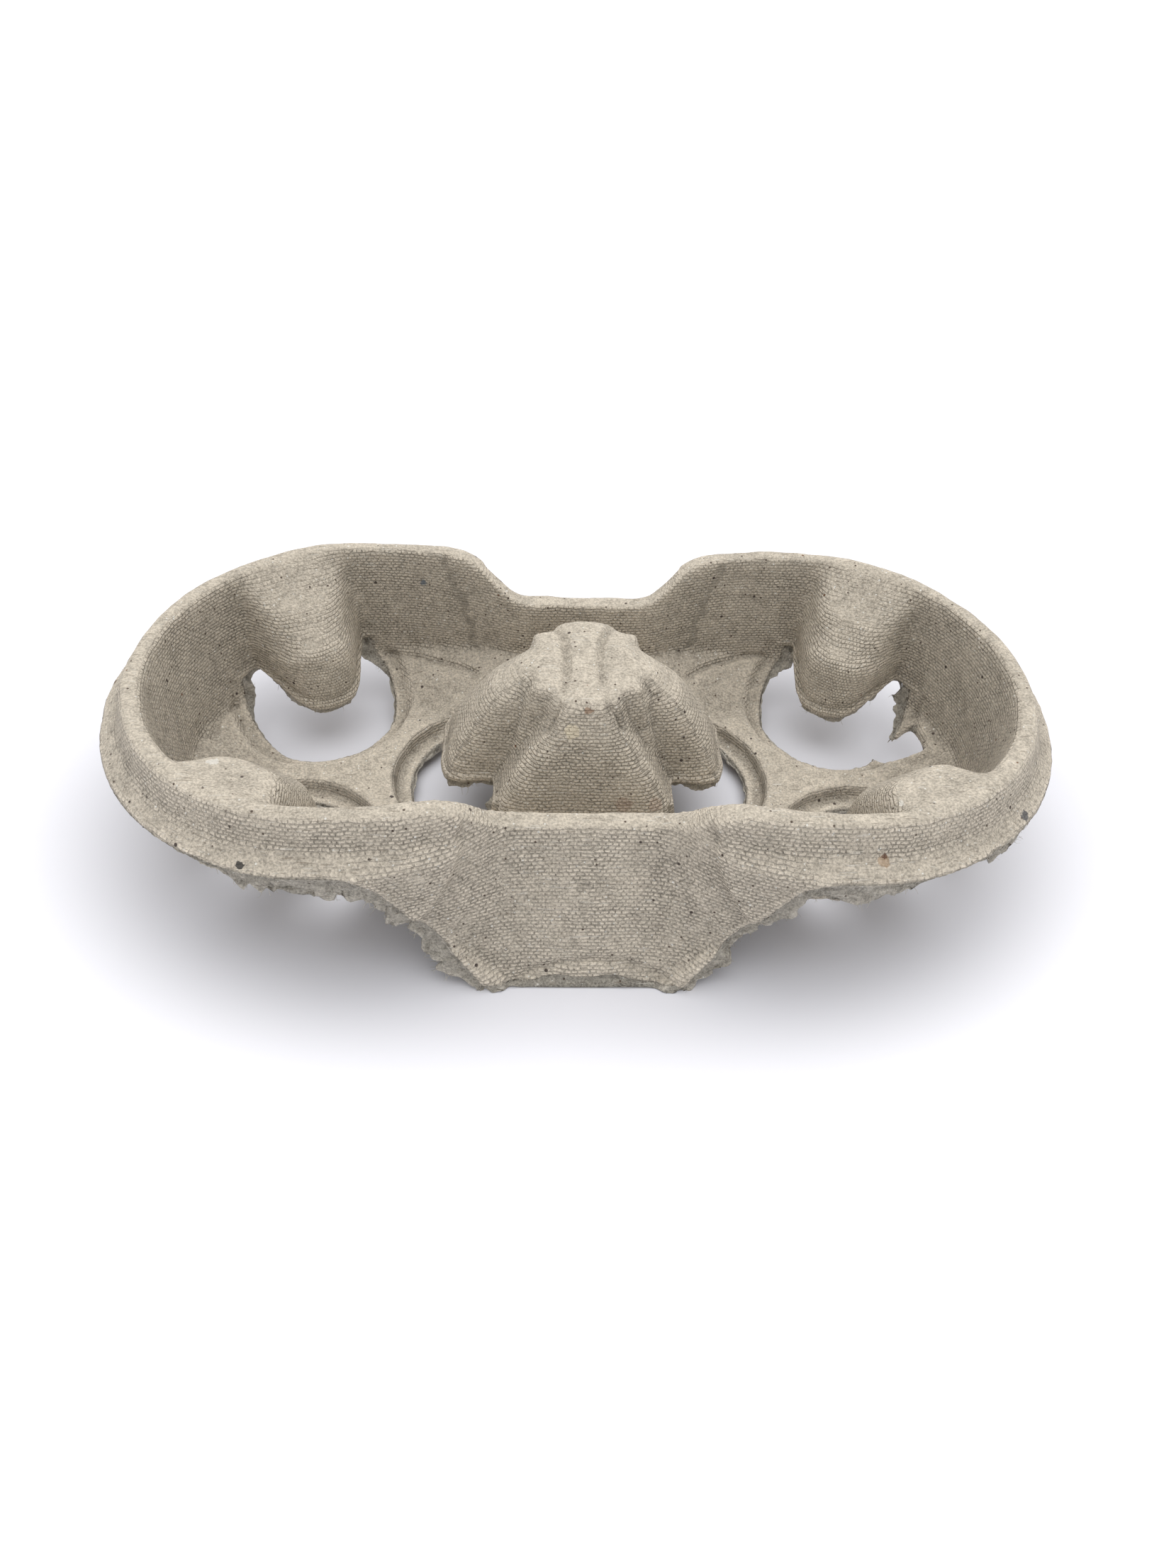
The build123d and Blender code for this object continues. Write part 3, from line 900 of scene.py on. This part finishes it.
class CARRIER_OT_pulp_tray(Operator):
    """Remakes the tray's solid as soft, uneven pulp with torn edges"""

    bl_idname = "carrier.pulp_tray"
    bl_label = "Pulp tray"

    def execute(self, context):
        look = context.scene.carrier_pulp
        piece = merged_copy()
        draw_out_cuts(piece)
        remake_skin(piece, look.voxel)
        soften_forms(piece, look)
        sink_back_flaps(piece, look.back_sag)
        tear_edges(piece, look)
        thin_out(piece)
        mark_surface(piece.data)
        piece.data.materials.clear()
        piece.data.materials.append(pulp_finish(look.colour, look.raw_and_shade_colour))
        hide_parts("tray")
        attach(piece, "root")
        return {"FINISHED"}


def curled_strand(look):
    """One fibre at the origin, which stands up, curls over and tapers."""
    deselect_all()
    bpy.ops.mesh.primitive_circle_add(vertices=3, radius=look.thickness / 2, fill_type="NGON")
    strand = bpy.context.object
    bpy.ops.object.mode_set(mode="EDIT")
    bpy.ops.mesh.select_all(action="SELECT")
    step = look.length / look.segments
    place = Vector((0, 0, 0))
    for k in range(look.segments):
        lean = look.curl * k / look.segments
        move = Vector((0, math.sin(lean), math.cos(lean))) * step
        bpy.ops.mesh.extrude_region_move(TRANSFORM_OT_translate={"value": move})
        place += move
        bpy.ops.transform.resize(value=(FIBRE_TAPER,) * 3, center_override=place)
    bpy.ops.mesh.select_all(action="SELECT")
    bpy.ops.mesh.normals_make_consistent(inside=False)
    bpy.ops.object.mode_set(mode="OBJECT")
    return strand


def planted_fibres(strand, tray, look):
    """Copies of the strand on the torn edges of the tray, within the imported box."""
    co = points_of(tray.data)
    out = normals_of(tray.data)
    slope = edge_slope(co)
    raw = read(tray.data.attributes["raw"].data, "value", 1)[:, 0]
    share = np.where(on_skirt(*co.T), 1.0, WINDOW_FIBRES) * raw * fade(torn_length(co), *FIBRE_ZONE)
    roots = random.choices(range(len(co)), weights=share.tolist(), k=look.count)
    low, high = packed_box
    copies = []
    for root in roots:
        sway = Vector([random.gauss(0, FIBRE_SWAY) for _ in range(3)])
        heading = (Vector(slope[root]) * 0.8 + Vector(out[root]) * 0.5 + sway).normalized()
        size = random.uniform(*FIBRE_LENGTHS)
        spin = random.uniform(0, 2 * math.pi)
        foot = Vector(co[root]) - heading * FIBRE_ROOT
        tip = foot + heading * look.length * size
        if not all(a < v < b for a, v, b in zip(low, tip, high)):
            continue
        fibre = bpy.data.objects.new("fibre", strand.data.copy())
        turn = heading.to_track_quat("Z", "Y").to_matrix().to_4x4()
        fibre.matrix_world = (
            Matrix.Translation(foot) @ turn @ Matrix.Rotation(spin, 4, "Z")
            @ Matrix.Diagonal((1, 1, size, 1)))
        bpy.context.scene.collection.objects.link(fibre)
        copies.append(fibre)
    return copies


def joined(copies, name):
    """The copies as one piece, with its place in its mesh."""
    deselect_all()
    for copy in copies:
        copy.select_set(True)
    bpy.context.view_layer.objects.active = copies[0]
    bpy.ops.object.join()
    piece = bpy.context.object
    piece.name = name
    bpy.ops.object.transform_apply(location=True, rotation=True, scale=True)
    return piece


class CARRIER_OT_torn_fibres(Operator):
    """Sets loose fibres along the torn edges of the pulp tray"""

    bl_idname = "carrier.torn_fibres"
    bl_label = "Torn fibres"

    def execute(self, context):
        look = context.scene.carrier_fibres
        tray = bpy.data.objects.get("pulp_tray")
        if tray is None:
            raise RuntimeError("The pulp tray is made first")
        strand = curled_strand(look)
        copies = planted_fibres(strand, tray, look)
        bpy.data.objects.remove(strand)
        piece = joined(copies, "torn_fibres")
        put_points(piece.data, np.clip(points_of(piece.data), *packed_box))
        bpy.ops.object.shade_smooth()
        piece.data.materials.clear()
        piece.data.materials.append(fibre_finish(FIBRE_COLOUR))
        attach(piece, "root")
        return {"FINISHED"}


def add_lamp(strength):
    """A wide overhead lamp that leans a little."""
    lamp = bpy.data.lights.new("overhead", "SUN")
    lamp.energy = strength
    lamp.angle = math.radians(LAMP_SPREAD)
    holder = bpy.data.objects.new("overhead", lamp)
    holder.rotation_euler = [math.radians(angle) for angle in LAMP_LEAN]
    bpy.context.scene.collection.objects.link(holder)


def add_sky(strength):
    """Even light from all round, behind which the camera sees plain white."""
    world = bpy.data.worlds.new("even_light")
    world.use_nodes = True
    nodes, links = world.node_tree.nodes, world.node_tree.links
    back = nodes["Background"]
    back.inputs["Color"].default_value = WHITE
    path = nodes.new("ShaderNodeLightPath")
    pick = nodes.new("ShaderNodeMapRange")
    links.new(path.outputs["Is Camera Ray"], pick.inputs["Value"])
    pick.inputs["To Min"].default_value = strength
    pick.inputs["To Max"].default_value = 1.0
    links.new(pick.outputs["Result"], back.inputs["Strength"])
    bpy.context.scene.world = world


def add_camera(lens):
    """The photo's camera."""
    aim = Matrix((
        (1, 0, 0),
        (0, math.sin(CAMERA_PITCH), math.cos(CAMERA_PITCH)),
        (0, math.cos(CAMERA_PITCH), -math.sin(CAMERA_PITCH)),
    ))
    turn = Matrix.Rotation(CAMERA_YAW, 3, "Z")
    tilt = Matrix.Rotation(CAMERA_ROLL, 3, "Z")
    right, up, forward = tilt @ aim @ turn
    data = bpy.data.cameras.new("camera")
    data.sensor_fit = "HORIZONTAL"
    data.sensor_width = 36.0
    data.lens = lens
    data.clip_start = 0.01
    data.clip_end = 100.0
    camera = bpy.data.objects.new("camera", data)
    place = Matrix((right, up, -forward)).transposed().to_4x4()
    place.translation = CAMERA_PLACE
    camera.matrix_world = place
    bpy.context.scene.collection.objects.link(camera)
    bpy.context.scene.camera = camera


class CARRIER_OT_stage(Operator):
    """Sets the white floor, the soft light and the camera"""

    bl_idname = "carrier.stage"
    bl_label = "Stage"

    def execute(self, context):
        look = context.scene.carrier_stage
        deselect_all()
        bpy.ops.mesh.primitive_plane_add(size=look.floor_size, location=(0, 0, 0))
        floor = context.object
        floor.name = "floor"
        bpy.ops.object.transform_apply(location=True, rotation=True, scale=True)
        floor.data.materials.append(floor_finish())
        add_lamp(look.sun_strength)
        add_sky(look.sky_strength)
        context.scene.view_settings.view_transform = "Standard"
        add_camera(look.lens)
        return {"FINISHED"}


class CARRIER_PT_panel(Panel):
    """Lists the pieces of the cup carrier"""

    bl_idname = "CARRIER_PT_panel"
    bl_label = "Cup carrier"
    bl_space_type = "VIEW_3D"
    bl_region_type = "UI"
    bl_category = "Cup carrier"

    def draw(self, context):
        layout = self.layout
        for settings, operator in (
            (context.scene.carrier_pulp, "carrier.pulp_tray"),
            (context.scene.carrier_fibres, "carrier.torn_fibres"),
            (context.scene.carrier_stage, "carrier.stage"),
        ):
            box = layout.box()
            for name in settings.__annotations__:
                box.prop(settings, name)
            box.operator(operator)


classes = (
    CarrierPulp, CarrierFibres, CarrierStage, CARRIER_OT_pulp_tray, CARRIER_OT_torn_fibres,
    CARRIER_OT_stage, CARRIER_PT_panel,
)


def register():
    for item in classes:
        bpy.utils.register_class(item)
    bpy.types.Scene.carrier_pulp = PointerProperty(type=CarrierPulp)
    bpy.types.Scene.carrier_fibres = PointerProperty(type=CarrierFibres)
    bpy.types.Scene.carrier_stage = PointerProperty(type=CarrierStage)


def unregister():
    del bpy.types.Scene.carrier_stage
    del bpy.types.Scene.carrier_fibres
    del bpy.types.Scene.carrier_pulp
    for item in reversed(classes):
        bpy.utils.unregister_class(item)


def main():
    random.seed(7)
    noise.seed_set(7)
    register()
    bpy.ops.carrier.pulp_tray()
    bpy.ops.carrier.torn_fibres()
    bpy.ops.carrier.stage()


if __name__ == "__main__":
    main()
